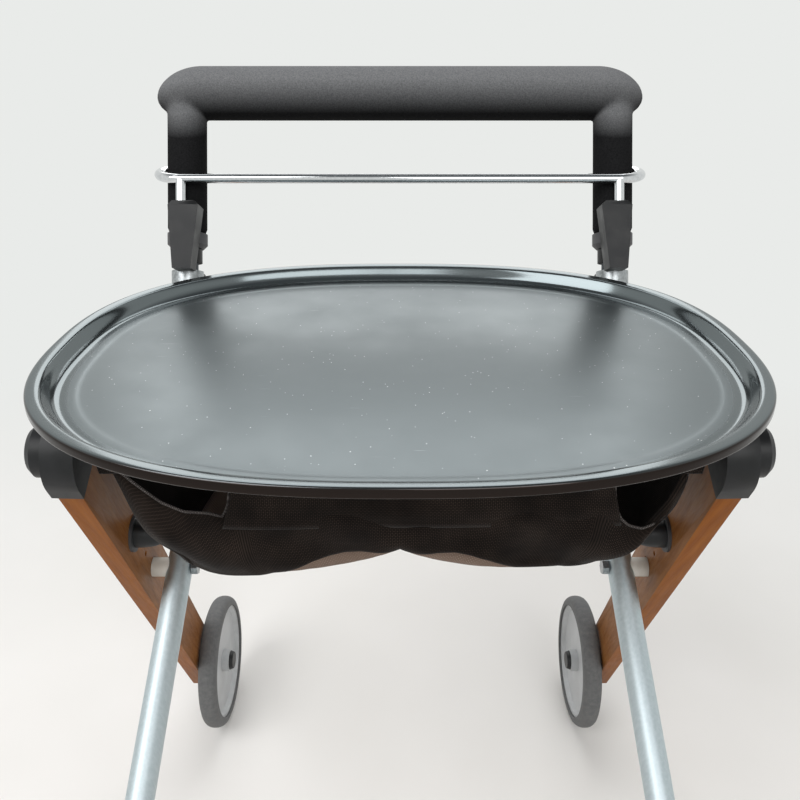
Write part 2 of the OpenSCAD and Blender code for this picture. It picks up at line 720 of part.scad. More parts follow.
module brake_socket(side) color("black") on_side(side) in_handle() difference() {
    strap_s = foam_len + collar_h + 2 * seat_fit;
    union() {
        translate([0, stub_y + brake_socket_d / 2, 0]) rotate([90, 0, 0])
            linear_extrude(brake_socket_d) polygon([
            [socket_in_x, -mouth_s - socket_chamfer], [socket_in_x + socket_chamfer, -mouth_s],
            [socket_out_x - socket_chamfer, -mouth_s], [socket_out_x, -mouth_s - socket_chamfer],
            [socket_out_x - socket_taper / 2, -socket_end_s], [socket_in_x + socket_taper, -socket_end_s]]);
        arm_rod(strap_s, strap_s + strap_h, handle_r + strap_wall);
        translate([arm_x - strap_w / 2, stub_y, -strap_s - strap_h]) cube([strap_w, -stub_y, strap_h]);
    }
    arm_rod(strap_s - cut, sleeve_top + cut, handle_r + seat_fit);
    arm_rod(sleeve_top - face_gap, socket_end_s + cut, tube_r + clamp_wall + face_gap);
    arm_rod(corner_r, strap_s, collar_r + face_gap);
    translate([stub_x, stub_y, -mouth_s - stub_bore_len])
        cylinder(h = stub_bore_len + cut, r = rod_r + run_fit);
}

module brake_loop() color("silver") both_sides() {
    front_y = loop_y - curl_r;
    cross_rod(0, arm_x, front_y, loop_z, rod_r);
    translate([arm_x, loop_y, loop_z]) rotate(-90)
        rotate_extrude(angle = 180) translate([curl_r, 0]) circle(r = rod_r);
    cross_rod(arm_x - loop_tail, arm_x, loop_y + curl_r, loop_z, rod_r);
    in_handle() translate([stub_x, stub_y, -mouth_s - stub_in]) cylinder(h = stub_in + stub_show, r = rod_r);
}

module brake_arm(side) color("gray") on_side(side) in_leg() translate([0, leg_len + brake_pin_dist, 0]) {
    plate_z = -leg_t / 2 - face_gap - brake_arm_t;
    translate([0, 0, plate_z]) linear_extrude(brake_arm_t) {
        circle(r = brake_eye_r);
        polygon([for (p = brake_arm_shares) p * brake_eye_r]);
    }
    translate([0, 0, plate_z]) cylinder(h = brake_arm_t + face_gap + brake_pin_len, r = brake_pin_r);
}

// Tray
module tray() color("black") translate([0, tray_y, tray_z]) {
    n = len(tray_rings);
    tops = len(tray_top);
    points = [for (p = tray_rings)
        each [for (q = superellipse(tray_a - p.x, tray_b - p.x, tray_power, tray_points)) [q.x, q.y, -p.y]]];
    top_faces = ring_faces(tops, tray_points);
    under_faces = [for (f = ring_faces(n - tops, tray_points)) [for (v = f) v + tops * tray_points]];
    lip_faces = [for (i = [0:tray_points - 1]) let (j = (i + 1) % tray_points, low = (n - 1) * tray_points)
        each [[low + i, low + j, j], [low + i, j, i]]];
    floor_top = [for (i = [0:tray_points - 1]) (tops - 1) * tray_points + i];
    floor_under = [for (i = [tray_points - 1:-1:0]) tops * tray_points + i];
    skin = concat(top_faces, under_faces, lip_faces, [floor_top], [floor_under]);
    polyhedron(points = points, faces = turned(skin));
}

module tray_clips() color("black") both_sides() difference() {
    union() {
        cross_rod(clip_x - clip_w / 2, clip_x + clip_w / 2, rear_bar_y, rear_bar_z, rear_bar_r + clip_wall);
        translate([clip_x - clip_w / 2, rear_bar_y - clip_d / 2, rear_bar_z])
            cube([clip_w, clip_d, tray_under_z - rear_bar_z - seat_fit]);
    }
    cross_rod(0, clip_x + clip_w, rear_bar_y, rear_bar_z, rear_bar_r + run_fit);
}

// Bag: an open shell of cloth, its inner skin one cloth thickness inside the outer one
function bag_ring(level, inset, front) = let (
    run = (bag_rear_y - bag_front_y) / 2,
    outline = superellipse(bag_a * level[1] - inset, run * (1 - level[2]) - inset, bag_power, bag_points),
    seam_y = bag_mid_y + (front ? -seam_gap : seam_gap) / 2,
    low_z = bag_mouth_z - bag_depth + inset)
    [for (k = [0:2 * bag_quarter])
        let (i = (front ? k + 2 * bag_quarter : k) % bag_points,
            fold = bag_quarter - abs(bag_quarter - i % (2 * bag_quarter)),
            top_z = bag_mouth_z - bag_scoop * bag_scoop_shares[fold])
        [outline[i].x, outline[i].y + seam_y, top_z + (low_z - top_z) * level[0]]];

// One half of the bag: rings up the outer skin and down the inner one, closed at the side seams
module bag_half(front) {
    n = len(bag_level_shares);
    m = 2 * bag_quarter + 1;
    rings = concat([for (k = [n - 1:-1:0]) bag_ring(bag_level_shares[k], 0, front)],
        [for (k = [0:n - 1]) bag_ring(bag_level_shares[k], bag_t, front)]);
    last = (2 * n - 1) * m;
    skin = [for (k = [0:2 * n - 2], i = [0:m - 2]) let (low = k * m + i, high = low + m)
        each [[low, low + 1, high + 1], [low, high + 1, high]]];
    seam = [for (k = [0:n - 2]) let (out = k * m, in = last - out)
        each [[out, out + m, in - m], [out, in - m, in]]];
    far_seam = turned([for (f = seam) [for (v = f) v + m - 1]]);
    base = [[0, last, last + m - 1], [0, last + m - 1, m - 1]];
    caps = [[for (i = [m - 1:-1:0]) i], [for (i = [0:m - 1]) last + i]];
    polyhedron(points = [for (r = rings) each r], faces = turned(concat(skin, seam, far_seam, base, caps)));
}

module bag_front() color("black") bag_half(true);

module bag_rear() color("black") bag_half(false);

frame_tube("left");  // frame_tube_left
frame_tube("right");  // frame_tube_right
height_clamp("left");  // height_clamp_left
height_clamp("right");  // height_clamp_right
height_knob("left");  // height_knob_left
height_knob("right");  // height_knob_right
rear_bar();
bar_clamp("left");  // bar_clamp_left
bar_clamp("right");  // bar_clamp_right
pivot_bolts();
pivot_spacers();
castor_socket("left");  // castor_socket_left
castor_socket("right");  // castor_socket_right
castor_fork("left");  // castor_fork_left
castor_fork("right");  // castor_fork_right
castor_axle("left");  // castor_axle_left
castor_axle("right");  // castor_axle_right
front_rim("left");  // front_rim_left
front_rim("right");  // front_rim_right
front_tyre("left");  // front_tyre_left
front_tyre("right");  // front_tyre_right
wooden_leg("left");  // wooden_leg_left
wooden_leg("right");  // wooden_leg_right
hub_bracket("left");  // hub_bracket_left
hub_bracket("right");  // hub_bracket_right
hub_caps();
front_bar();
lock_discs();
lock_knob("left");  // lock_knob_left
lock_knob("right");  // lock_knob_right
rear_axles();
rear_rim("left");  // rear_rim_left
rear_rim("right");  // rear_rim_right
rear_tyre("left");  // rear_tyre_left
rear_tyre("right");  // rear_tyre_right
rear_wheel_cap("left");  // rear_wheel_cap_left
rear_wheel_cap("right");  // rear_wheel_cap_right
brake_arm("left");  // brake_arm_left
brake_arm("right");  // brake_arm_right
handle_tube();
grip_foam();
grip_collars();
brake_socket("left");  // brake_socket_left
brake_socket("right");  // brake_socket_right
brake_loop();
tray();
tray_clips();
bag_front();
bag_rear();
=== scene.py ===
import json
import math

import bpy
import numpy as np
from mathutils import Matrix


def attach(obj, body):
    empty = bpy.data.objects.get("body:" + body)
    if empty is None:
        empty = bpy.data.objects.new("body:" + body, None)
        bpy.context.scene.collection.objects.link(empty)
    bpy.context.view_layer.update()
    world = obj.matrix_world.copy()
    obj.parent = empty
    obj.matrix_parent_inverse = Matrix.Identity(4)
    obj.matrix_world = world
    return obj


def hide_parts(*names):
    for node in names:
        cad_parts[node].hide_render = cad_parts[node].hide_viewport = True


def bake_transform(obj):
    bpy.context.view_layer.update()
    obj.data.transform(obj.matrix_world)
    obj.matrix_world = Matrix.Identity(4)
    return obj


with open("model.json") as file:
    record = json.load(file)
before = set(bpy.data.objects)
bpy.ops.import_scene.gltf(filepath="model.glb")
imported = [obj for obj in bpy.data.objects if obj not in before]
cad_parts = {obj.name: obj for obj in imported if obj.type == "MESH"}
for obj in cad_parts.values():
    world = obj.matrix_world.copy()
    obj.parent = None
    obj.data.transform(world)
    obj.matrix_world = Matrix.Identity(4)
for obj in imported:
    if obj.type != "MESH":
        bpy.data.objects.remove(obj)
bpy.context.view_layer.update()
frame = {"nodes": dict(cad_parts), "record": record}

MM = 0.001


# Node and colour helpers

def linear(hexa):
    """sRGB hex text to a linear RGBA colour: the sRGB curve undone on each channel."""
    c = np.array([int(hexa[i:i + 2], 16) for i in (0, 2, 4)]) / 255
    c = np.where(c <= 0.04045, c / 12.92, ((c + 0.055) / 1.055) ** 2.4)
    return (*c.tolist(), 1.0)


def add(tree, kind, values=(), links=(), stops=(), **settings):
    """Adds one node with its settings, socket values, incoming links and, on a colour ramp, its (place, hex) stops.
    Returns the node's outputs."""
    node = tree.nodes.new("ShaderNode" + kind)
    for key, value in settings.items():
        setattr(node, key, value)
    for key, value in dict(values).items():
        node.inputs[key].default_value = value
    for key, source in dict(links).items():
        tree.links.new(source, node.inputs[key])
    for index, (place, colour) in enumerate(stops):
        element = node.color_ramp.elements[index]
        element.position, element.color = place, linear(colour)
    return node.outputs


def blank(name):
    """A new material with an empty node tree."""
    material = bpy.data.materials.new(name)
    material.use_nodes = True
    material.node_tree.nodes.clear()
    return material, material.node_tree


def surface(material, links, **values):
    """Ends a material: values and links go onto the Principled shader's own sockets."""
    tree = material.node_tree
    shader = add(tree, "BsdfPrincipled", {k.replace("_", " "): v for k, v in values.items()}, links)
    add(tree, "OutputMaterial", links={"Surface": shader[0]})
    return material


def per_mm(size):
    """Texture scale, in cells a metre, for a pattern whose cell is that many millimetres."""
    return 1 / (size * MM)


# Finishes

def foam_skin():
    """Closed-cell foam tube with its moulded skin: dull black with fine open pores. The crossbar's top is painted
    lighter grey where it faces up: painted top light, partly dust and rubbing."""
    material, tree = blank("EVA foam, moulded skin")
    coords = add(tree, "TexCoord")
    pores = add(tree, "TexNoise", {"Scale": per_mm(1.3), "Detail": 4.0, "Roughness": 0.65},
                {"Vector": coords["Object"]})[0]
    clean = add(tree, "ValToRGB", links={"Fac": pores}, stops=((0.3, "0d0d0e"), (0.72, "1f1f20")))[0]
    # Painted top light: the crossbar turns lighter grey as its surface faces up, partly dust and rubbing; the arms
    # stay dark
    top_lit_dusty = add(tree, "ValToRGB", links={"Fac": pores}, stops=((0.3, "5e5f61"), (0.72, "7f8081")))[0]
    facing = add(tree, "SeparateXYZ", links={"Vector": coords["Normal"]})["Z"]
    height = add(tree, "SeparateXYZ", links={"Vector": coords["Object"]})["Z"]
    top_light_mask = add(tree, "MapRange", {"From Min": -0.65, "From Max": 0.6}, {"Value": facing})[0]
    on_bar = add(tree, "MapRange", {"From Min": 0.79, "From Max": 0.812, "To Min": 0.02}, {"Value": height})[0]
    patch_mask = add(tree, "Math", links={0: top_light_mask, 1: on_bar}, operation="MULTIPLY")[0]
    tone = add(tree, "Mix", links={0: patch_mask, 6: clean, 7: top_lit_dusty}, data_type="RGBA")[2]
    relief = add(tree, "Bump", {"Strength": 0.75, "Distance": 0.4 * MM}, {"Height": pores})[0]
    return surface(material, {"Base Color": tone, "Normal": relief},
                   Roughness=0.9, Specular_IOR_Level=0.06, IOR=1.45)


def moulded(name, dark, light, rough):
    """Moulded plastic with a fine spark-eroded grain; the tone and gloss drift slowly over the piece."""
    material, tree = blank(name)
    place = add(tree, "TexCoord")["Object"]
    drift = add(tree, "TexNoise", {"Scale": per_mm(18), "Detail": 2.0}, {"Vector": place})[0]
    grit = add(tree, "TexNoise", {"Scale": per_mm(0.7), "Detail": 2.0}, {"Vector": place})[0]
    tone = add(tree, "ValToRGB", links={"Fac": drift}, stops=((0.3, dark), (0.7, light)))[0]
    gloss = add(tree, "MapRange", {"From Min": 0.3, "From Max": 0.7, "To Min": rough - 0.06, "To Max": rough + 0.08},
                {"Value": drift})[0]
    relief = add(tree, "Bump", {"Strength": 0.35, "Distance": 0.12 * MM}, {"Height": grit})[0]
    return surface(material, {"Base Color": tone, "Roughness": gloss, "Normal": relief},
                   IOR=1.5, Specular_IOR_Level=0.35)


def metal(name, dark, light, rough, streak=(1, 1, 1), depth=0.012):
    """Metal or metal paint: tone and gloss vary a little along fine streaks left by drawing or brushing, whose depth
    is in millimetres."""
    material, tree = blank(name)
    place = add(tree, "Mapping", {"Scale": streak}, {"Vector": add(tree, "TexCoord")["Object"]})[0]
    lines = add(tree, "TexNoise", {"Scale": per_mm(2.5), "Detail": 2.0}, {"Vector": place})[0]
    tone = add(tree, "ValToRGB", links={"Fac": lines}, stops=((0.3, dark), (0.7, light)))[0]
    gloss = add(tree, "MapRange", {"From Min": 0.3, "From Max": 0.7, "To Min": rough * 0.93, "To Max": rough * 1.08},
                {"Value": lines})[0]
    relief = add(tree, "Bump", {"Strength": 0.2, "Distance": depth * MM}, {"Height": lines})[0]
    return surface(material, {"Base Color": tone, "Roughness": gloss, "Normal": relief}, Metallic=1.0)


# Lean of the wooden legs and how much longer their grain is than wide
WOOD_LEAN, GRAIN_STRETCH = math.radians(30.5), 16.0


def varnished_wood():
    """Laminated beech under clear varnish: long grain along the leg and fine pores. The end grain of the edges takes
    the amber stain and turns orange; the broad faces stay browner."""
    material, tree = blank("beech ply, amber varnish")
    coords = add(tree, "TexCoord")
    place = add(tree, "Mapping", {"Rotation": (WOOD_LEAN, 0, 0), "Scale": (1.0, 1.0, GRAIN_STRETCH)},
                {"Vector": coords["Object"]}, vector_type="TEXTURE")[0]
    grain = add(tree, "TexNoise", {"Scale": per_mm(6), "Detail": 4.0, "Roughness": 0.55}, {"Vector": place})[0]
    pores = add(tree, "TexNoise", {"Scale": per_mm(1.1), "Detail": 2.0}, {"Vector": place})[0]
    both = add(tree, "Math", links={0: pores, 1: grain}, operation="MULTIPLY")[0]
    edge = add(tree, "ValToRGB", links={"Fac": grain}, stops=((0.3, "7c430a"), (0.7, "925510")))[0]
    flat = add(tree, "ValToRGB", links={"Fac": grain}, stops=((0.3, "744823"), (0.7, "8f6036")))[0]
    facing = add(tree, "SeparateXYZ", links={"Vector": coords["Normal"]})["X"]
    side = add(tree, "Math", links={0: facing}, operation="ABSOLUTE")[0]
    face = add(tree, "MapRange", {"From Min": 0.6, "From Max": 0.9}, {"Value": side})[0]
    tone = add(tree, "Mix", links={0: face, 6: edge, 7: flat}, data_type="RGBA")[2]
    gloss = add(tree, "MapRange", {"From Min": 0.3, "From Max": 0.7, "To Min": 0.32, "To Max": 0.46},
                {"Value": pores})[0]
    relief = add(tree, "Bump", {"Strength": 0.3, "Distance": 0.15 * MM}, {"Height": both})[0]
    return surface(material, {"Base Color": tone, "Roughness": gloss, "Normal": relief},
                   IOR=1.5, Specular_IOR_Level=0.06, Coat_Weight=0.03, Coat_Roughness=0.22)


# The tray's section from the middle of its underside, round the lip, to the floor: inset from the outline and depth
# below the rim, in millimetres
TRAY_SECTION = np.array([
    (60, 16), (19.5, 16), (17.5, 14.6), (12.6, 10.3), (6, 4.2), (3.2, 3.7), (3, 5.5), (3, 7), (1.5, 7.2), (0, 7),
    (0, 4.5), (0.2, 1.4), (1.2, 0.2), (2.6, 0), (4.5, 0.15), (7.8, 0.5), (9.6, 1.2), (10.8, 2.8), (14, 9),
    (16.5, 11.8), (19, 12.8), (22, 13), (30, 13), (33, 13.5), (60, 13.5)])
# Way along the section to the rim's outer edge and to the floor, and the run over which each zone fades in
RIM_AT, FLOOR_AT = 74.0, 104.0
RIM_FADE, FLOOR_FADE = 1.5, 3.0


def tray_plastic():
    """Pressed dark plastic with a strong sheen, so that it mirrors the pale room and looks grey from in front. The
    floor is satin with dust specks and a few hairline scratches, rim and wall are glossier, lip and underside dark."""
    material, tree = blank("ABS tray, grained floor")
    place = add(tree, "TexCoord")["Object"]
    way = add(tree, "SeparateXYZ", links={"Vector": add(tree, "UVMap")[0]})["Y"]
    on_floor = add(tree, "MapRange", {"From Min": FLOOR_AT - FLOOR_FADE, "From Max": FLOOR_AT}, {"Value": way})[0]
    above = add(tree, "MapRange", {"From Min": RIM_AT - RIM_FADE, "From Max": RIM_AT}, {"Value": way})[0]
    grit = add(tree, "TexNoise", {"Scale": per_mm(1.6), "Detail": 3.0, "Roughness": 0.6}, {"Vector": place})[0]
    clouds = add(tree, "TexNoise", {"Scale": per_mm(70), "Detail": 3.0, "Roughness": 0.6}, {"Vector": place})[0]
    # Dust: small dots, left out where a slow noise is low
    specks = add(tree, "TexVoronoi", {"Scale": per_mm(6), "Randomness": 1.0}, {"Vector": place})["Distance"]
    dot = add(tree, "MapRange", {"From Min": 0.035, "From Max": 0.08, "To Min": 1.0, "To Max": 0.0},
              {"Value": specks})[0]
    few = add(tree, "TexNoise", {"Scale": per_mm(15), "Detail": 1.0}, {"Vector": place})[0]
    rare = add(tree, "MapRange", {"From Min": 0.45, "From Max": 0.52}, {"Value": few})[0]
    dust = add(tree, "Math", links={0: dot, 1: rare}, operation="MULTIPLY")[0]
    # Scratches: a stretched noise, only where the clouds are high
    turned = add(tree, "Mapping", {"Rotation": (0, 0, 0.5), "Scale": (0.035, 1.0, 1.0)}, {"Vector": place})[0]
    hair = add(tree, "TexNoise", {"Scale": per_mm(1.4), "Detail": 1.0}, {"Vector": turned})[0]
    line = add(tree, "MapRange", {"From Min": 0.75, "From Max": 0.79}, {"Value": hair})[0]
    patch_mask = add(tree, "MapRange", {"From Min": 0.52, "From Max": 0.68, "To Max": 0.5}, {"Value": clouds})[0]
    marks = add(tree, "Math", links={0: line, 1: patch_mask}, operation="MULTIPLY")[0]
    both = add(tree, "Math", links={0: marks, 1: dust}, operation="MAXIMUM")[0]
    light = add(tree, "Math", links={0: both, 1: on_floor}, operation="MULTIPLY")[0]
    skin = add(tree, "ValToRGB", links={"Fac": light}, stops=((0.0, "6b7274"), (1.0, "f4f5f5")))[0]
    tone = add(tree, "Mix", {6: linear("2a2320")}, {0: above, 7: skin}, data_type="RGBA")[2]
    satin = add(tree, "MapRange", {"From Min": 0.3, "From Max": 0.7, "To Min": 0.3, "To Max": 0.4},
                {"Value": clouds})[0]
    gloss = add(tree, "Mix", {2: 0.13}, {0: on_floor, 3: satin}, data_type="FLOAT")[0]
    grain = add(tree, "Math", links={0: grit, 1: on_floor}, operation="MULTIPLY")[0]
    relief = add(tree, "Bump", {"Strength": 0.3, "Distance": 0.06 * MM}, {"Height": grain})[0]
    return surface(material, {"Base Color": tone, "Roughness": gloss, "Normal": relief}, Metallic=0.9)


def canvas(name, gap_shade_tone, crown_lit_tone, thread_mm=1.5):
    """Plain weave: threads cross over and under. The colour holds painted light: painted highlights on the thread
    crowns, painted shade in the gaps and on the threads that pass under.
    """
    material, tree = blank(name)
    cloth = add(tree, "Mapping", {"Scale": (1 / thread_mm, 1 / thread_mm, 1)}, {"Vector": add(tree, "UVMap")[0]})[0]
    weave = add(tree, "TexChecker", {"Scale": 1.0}, {"Vector": cloth})["Fac"]
    cell = add(tree, "VectorMath", links={0: cloth}, operation="FRACTION")[0]
    centred = add(tree, "VectorMath", {1: (0.5, 0.5, 0.0)}, {0: cell}, operation="DISTANCE")["Value"]
    crown = add(tree, "MapRange", {"From Min": 0.1, "From Max": 0.62, "To Min": 1.0, "To Max": 0.0},
                {"Value": centred})[0]
    wear = add(tree, "TexNoise", {"Scale": per_mm(30), "Detail": 3.0}, {"Vector": add(tree, "TexCoord")["Object"]})[0]
    # Painted highlight on each thread's crown, painted shade in the gaps and on the under threads
    lit = add(tree, "Math", links={0: crown, 1: wear}, operation="MULTIPLY")[0]
    over = add(tree, "Math", {1: 0.35, 2: 0.65}, {0: weave}, operation="MULTIPLY_ADD")[0]
    shade = add(tree, "Math", links={0: lit, 1: over}, operation="MULTIPLY")[0]
    tone = add(tree, "ValToRGB", links={"Fac": shade}, stops=((0.12, gap_shade_tone), (0.62, crown_lit_tone)))[0]
    relief = add(tree, "Bump", {"Strength": 0.6, "Distance": 0.4 * MM}, {"Height": shade})[0]
    return surface(material, {"Base Color": tone, "Normal": relief},
                   Roughness=0.9, Specular_IOR_Level=0.12, Sheen_Weight=0.05, Sheen_Roughness=0.5)


def solid_rubber():
    """Grey solid rubber tyre: matt, dusty, with small scuffs."""
    material, tree = blank("solid grey rubber")
    scuff = add(tree, "TexNoise", {"Scale": per_mm(5), "Detail": 4.0, "Roughness": 0.6},
                {"Vector": add(tree, "TexCoord")["Object"]})[0]
    tone = add(tree, "ValToRGB", links={"Fac": scuff}, stops=((0.3, "565758"), (0.75, "6f6f6e")))[0]
    gloss = add(tree, "MapRange", {"From Min": 0.3, "From Max": 0.7, "To Min": 0.6, "To Max": 0.85},
                {"Value": scuff})[0]
    relief = add(tree, "Bump", {"Strength": 0.4, "Distance": 0.2 * MM}, {"Height": scuff})[0]
    return surface(material, {"Base Color": tone, "Roughness": gloss, "Normal": relief}, IOR=1.5)


FINISH = {
    "satin_aluminium": metal("drawn aluminium, satin silver", "bdc9cd", "cad4d8", 0.5, (1, 1, 0.15)),
    "black_moulding": moulded("black ABS, fine grain", "0f1011", "1c1d1f", 0.42),
    "grey_moulding": moulded("grey ABS, fine grain", "3c3c3e", "525254", 0.5),
    "grey_tube": metal("steel tube, grey powder coat", "3d4043", "565a5d", 0.5),
    "bright_steel": metal("zinc-plated steel", "8f9395", "b2b6b8", 0.34),
    "white_nylon": moulded("natural nylon", "d4d0c6", "ece9e1", 0.4),
    "chrome_rod": metal("polished chrome plate", "ccced0", "dcdee0", 0.06, depth=0.002),
    "black_foam": foam_skin(),
    "black_tray": tray_plastic(),
    "black_cloth": canvas("black polyester canvas", "0b0705", "40352e"),
    "varnished_wood": varnished_wood(),
    "grey_tyre": solid_rubber(),
    "silver_rim": moulded("silver ABS, metallic", "b3b5b6", "c1c3c4", 0.34),
    "grey_steel": metal("steel plate, grey paint", "73777a", "83878a", 0.45),
}
for part in frame["record"]["subparts"]:
    mesh = frame["nodes"][part["node"]].data
    mesh.materials.clear()
    mesh.materials.append(FINISH[part["material_slot"]])


# Broken edges of the moulded and wooden solids: doubles welded, then a small round on every corner over 35 degrees
for start_of_name, radius in (("wooden_leg", 1.6), ("hub_bracket", 0.8), ("brake_socket", 2.6), ("castor_fork", 0.8)):
    for name, node in frame["nodes"].items():
        if name.startswith(start_of_name):
            node.modifiers.new("weld", "WELD").merge_threshold = 0.01 * MM
            edge = node.modifiers.new("broken edges", "BEVEL")
            edge.width, edge.segments, edge.angle_limit = radius * MM, 3, math.radians(35)


# Mesh helpers

def grid_quads(rows, cols, around=True, closed=False):
    """Quads of a grid of points stored row by row; around joins the last column to the first, closed the last row."""
    down = np.arange(rows if closed else rows - 1)
    along = np.arange(cols if around else cols - 1)
    r, c = np.meshgrid(down, along, indexing="ij")
    d, q = (c + 1) % cols, (r + 1) % rows
    return np.stack([r * cols + c, r * cols + d, q * cols + d, q * cols + c], -1).reshape(-1, 4).tolist()


def piece(name, points, faces, finish, body=None, uv=None, period=0.0, material=None):
    """A smooth-shaded mesh piece from points and faces; uv, in millimetres, is one pair for each point. A face that
    spans more than half the period crosses the seam of a ring, and its low corners move one period on."""
    mesh = bpy.data.meshes.new(name)
    mesh.from_pydata(np.asarray(points, float).reshape(-1, 3).tolist(), [], faces)
    mesh.polygons.foreach_set("use_smooth", np.ones(len(mesh.polygons), bool))
    if uv is not None:
        corner = np.empty(len(mesh.loops), np.int32)
        mesh.loops.foreach_get("vertex_index", corner)
        first = np.empty(len(mesh.polygons), np.int32)
        mesh.polygons.foreach_get("loop_start", first)
        pairs = np.asarray(uv, np.float32).reshape(-1, 2)[corner]
        highest = np.repeat(np.maximum.reduceat(pairs[:, 0], first), np.diff(np.append(first, len(corner))))
        pairs[:, 0] += period * (highest - pairs[:, 0] > period / 2)
        mesh.uv_layers.new(name="cloth").data.foreach_set("uv", pairs.ravel())
    mesh.materials.append(material or FINISH[finish])
    mesh.update()
    made = bpy.data.objects.new(name, mesh)
    bpy.context.scene.collection.objects.link(made)
    if body:
        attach(made, body)
    return made


def smooth_steps(x, low, high):
    """0 below low, 1 above high, and 3t^2 - 2t^3 between them."""
    t = np.clip((x - low) / (high - low), 0, 1)
    return t * t * (3 - 2 * t)


def rounded(points, times=2):
    """Corner cutting on an open line: each inner corner gives way to points at 1/4 and 3/4 of its edges."""
    for _ in range(times):
        a, b = points[:-1], points[1:]
        cut = np.stack([0.75 * a + 0.25 * b, 0.25 * a + 0.75 * b], 1).reshape(-1, points.shape[1])
        points = np.concatenate([points[:1], cut[1:-1], points[-1:]])
    return points


# Handle: foam grip

LEAN = math.radians(26.2)
GRIP = np.array([0, 266, 828.0])
ARM_X = 218.0
FOAM_END = 144.0


def in_handle(points):
    """Points of the handle's own plane (x across, y behind, z up the arms) set into the walker, in metres."""
    c, s = math.cos(LEAN), math.sin(LEAN)
    turn = np.array([[1, 0, 0], [0, c, s], [0, -s, c]])
    return (points @ turn.T + GRIP) * MM


def foam_grip():
    """A ring carried along the U of the handle. Its reach in each direction is found by bisection on the
    distance to a thick bar, whose ends are long half ellipsoids that droop, and two thinner arms, joined by a smooth
    minimum."""
    bar_r, arm_r, bar_half, bar_end, droop = 26.0, 19.6, 200.0, 48.0, 5.0
    bore, blend, corner, end_round = 10.9, 3.0, 30.0, 2.2
    nearest, farthest, halvings, sides = 5.0, 60.0, 30, 56

    def distance(p):
        past = np.maximum(np.abs(p[..., 0]) - bar_half, 0) / bar_end
        bar = np.sqrt((bar_r * past) ** 2 + p[..., 1] ** 2 + (p[..., 2] + droop * past ** 2) ** 2) - bar_r
        side = np.where(p[..., 0] < 0, -ARM_X, ARM_X)
        down = np.minimum(p[..., 2], 0)
        arm = np.linalg.norm(p - np.stack([side, 0 * side, down], -1), axis=-1) - arm_r
        h = np.clip(0.5 + 0.5 * (arm - bar) / blend, 0, 1)
        return arm * (1 - h) + bar * h - blend * h * (1 - h)

    arm = np.linspace(-FOAM_END, -corner, 40)
    turn = np.radians(np.linspace(0, 90, 30)[1:])
    bar = np.linspace(ARM_X - corner, 0, 40)[1:]
    x = np.concatenate([0 * arm + ARM_X, ARM_X - corner + corner * np.cos(turn), bar])
    z = np.concatenate([arm, -corner + corner * np.sin(turn), 0 * bar])
    tilt = np.concatenate([0 * arm, turn, 0 * bar + math.pi / 2])
    x, z, tilt = (np.concatenate([v, w[-2::-1]]) for v, w in ((x, -x), (z, z), (tilt, math.pi - tilt)))
    ring = np.linspace(0, 2 * math.pi, sides, endpoint=False)
    out = np.stack([np.cos(ring)[None] * np.cos(tilt)[:, None], np.sin(ring)[None] + 0 * tilt[:, None],
                    np.cos(ring)[None] * np.sin(tilt)[:, None]], -1)
    centre = np.stack([x, 0 * x, z], -1)[:, None]
    low, high = np.full(out.shape[:2], nearest), np.full(out.shape[:2], farthest)
    for _ in range(halvings):
        middle = (low + high) / 2
        inside = distance(centre + out * middle[..., None]) < 0
        low, high = np.where(inside, middle, low), np.where(inside, high, middle)
    edge = np.minimum(np.arange(len(x)), np.arange(len(x))[::-1])
    reach = low - end_round * (1 - smooth_steps(edge[:, None], 0, 2))
    core = centre + out * bore
    rows = np.concatenate([centre + out * reach[..., None], core[::-1]])
    made = piece("foam_grip", in_handle(rows.reshape(-1, 3)), grid_quads(len(rows), rows.shape[1], closed=True),
                 "black_foam", "handle")
    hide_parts("grip_foam")


foam_grip()


# Tray

TRAY_A, TRAY_B, TRAY_POWER = 273.0, 211.0, 2.47
TRAY_AT = np.array([0, -13, 670.0])


def oval(a, b, power, count):
    """Superellipse |x/a|^p + |y/b|^p = 1 by its angle."""
    t = np.linspace(0, 2 * math.pi, count, endpoint=False)
    c, s = np.cos(t), np.sin(t)
    return np.stack([a * np.sign(c) * np.abs(c) ** (2 / power), b * np.sign(s) * np.abs(s) ** (2 / power)], -1)


def tray_shell():
    """The tray's section, with its corners cut round, carried round a superellipse that shrinks by the inset."""
    section = rounded(TRAY_SECTION, 2)
    length = np.concatenate([[0], np.cumsum(np.linalg.norm(np.diff(section, axis=0), axis=1))])
    count = 288
    rows = np.stack([np.concatenate([oval(TRAY_A - i, TRAY_B - i, TRAY_POWER, count),
                                     np.full((count, 1), -d)], 1) for i, d in section]) + TRAY_AT
    n = len(section)
    faces = grid_quads(n, count)
    faces.append(list(range(count))[::-1])
    faces.append([(n - 1) * count + k for k in range(count)])
    way = np.stack(np.broadcast_arrays(np.arange(count)[None], length[:, None]), -1)
    made = piece("tray_shell", rows * MM, faces, "black_tray", "tray", way, count)
    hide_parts("tray")


tray_shell()


# Bag

BAG_HALF, BAG_RUN, BAG_MID = 222.0, 111.5, 18.5
BAG_FLOOR = 497.0
CLOTH_T = 1.5
FRONT_BAR, REAR_BAR, BAR_R = (-90.0, 614.0), (147.0, 625.0), 8.0
# The flap's sides slant, x = a + b z, up to this height
FLAP_LEFT, FLAP_RIGHT, FLAP_TOP = (-300.6, 0.3), (324.1, -0.28), 604.0
# How far the flap's front bows in at its sides, waves, and is sewn in at its lower edge
FLAP_BOW, FLAP_WAVE, FLAP_SEWN = 2.2, 0.6, 2.6
